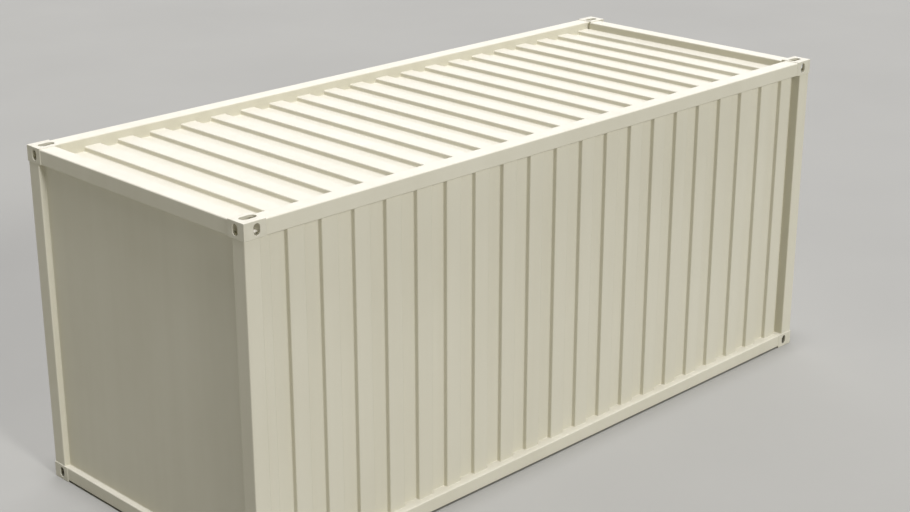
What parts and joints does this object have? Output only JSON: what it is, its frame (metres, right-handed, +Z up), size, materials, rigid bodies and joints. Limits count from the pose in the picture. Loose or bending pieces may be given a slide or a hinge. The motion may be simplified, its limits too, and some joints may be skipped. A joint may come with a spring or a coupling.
{
  "type": "shipping container",
  "caption": "Closed steel cargo box with corrugated sides and roof, flat front end, double doors with locking bars, and slotted corner castings for lifting and stacking",
  "frame": {"origin": "centre of the footprint, on the plane that the four bottom castings stand on", "axes": "+X along the length to the door end, +Y to the right side as seen facing the doors, +Z up"},
  "size_m": [6.058, 2.438, 2.591],
  "materials": {
    "body_paint": "satin cream paint",
    "casting_paint": "satin cream paint on cast steel",
    "bar_steel": "galvanized, dull",
    "seal_rubber": "matt black",
    "floor_wood": "sealed plywood",
    "underframe_paint": "dark underside coating"
  },
  "bodies": {
    "root": {"bar_guides": "bar_steel", "cross_members": "underframe_paint", "door_header": "body_paint", "door_left_bottom_casting": "casting_paint", "door_left_post": "body_paint", "door_left_top_casting": "casting_paint", "door_right_bottom_casting": "casting_paint", "door_right_post": "body_paint", "door_right_top_casting": "casting_paint", "door_sill": "body_paint", "floor": "floor_wood", "front_header": "body_paint", "front_left_bottom_casting": "casting_paint", "front_left_post": "body_paint", "front_left_top_casting": "casting_paint", "front_right_bottom_casting": "casting_paint", "front_right_post": "body_paint", "front_right_top_casting": "casting_paint", "front_sill": "body_paint", "front_wall": "body_paint", "handle_catches": "bar_steel", "header_keepers": "bar_steel", "left_bottom_rail": "body_paint", "left_door_frame": "body_paint", "left_door_handles": "bar_steel", "left_door_panel": "body_paint", "left_door_seal": "seal_rubber", "left_hinge_lugs": "body_paint", "left_hinge_straps": "body_paint", "left_locking_bars": "bar_steel", "left_side_wall": "body_paint", "left_top_rail": "body_paint", "right_bottom_rail": "body_paint", "right_door_frame": "body_paint", "right_door_handles": "bar_steel", "right_door_panel": "body_paint", "right_door_seal": "seal_rubber", "right_hinge_lugs": "body_paint", "right_hinge_straps": "body_paint", "right_locking_bars": "bar_steel", "right_side_wall": "body_paint", "right_top_rail": "body_paint", "roof_panel": "body_paint", "sill_keepers": "bar_steel"}
  },
  "joints": []
}
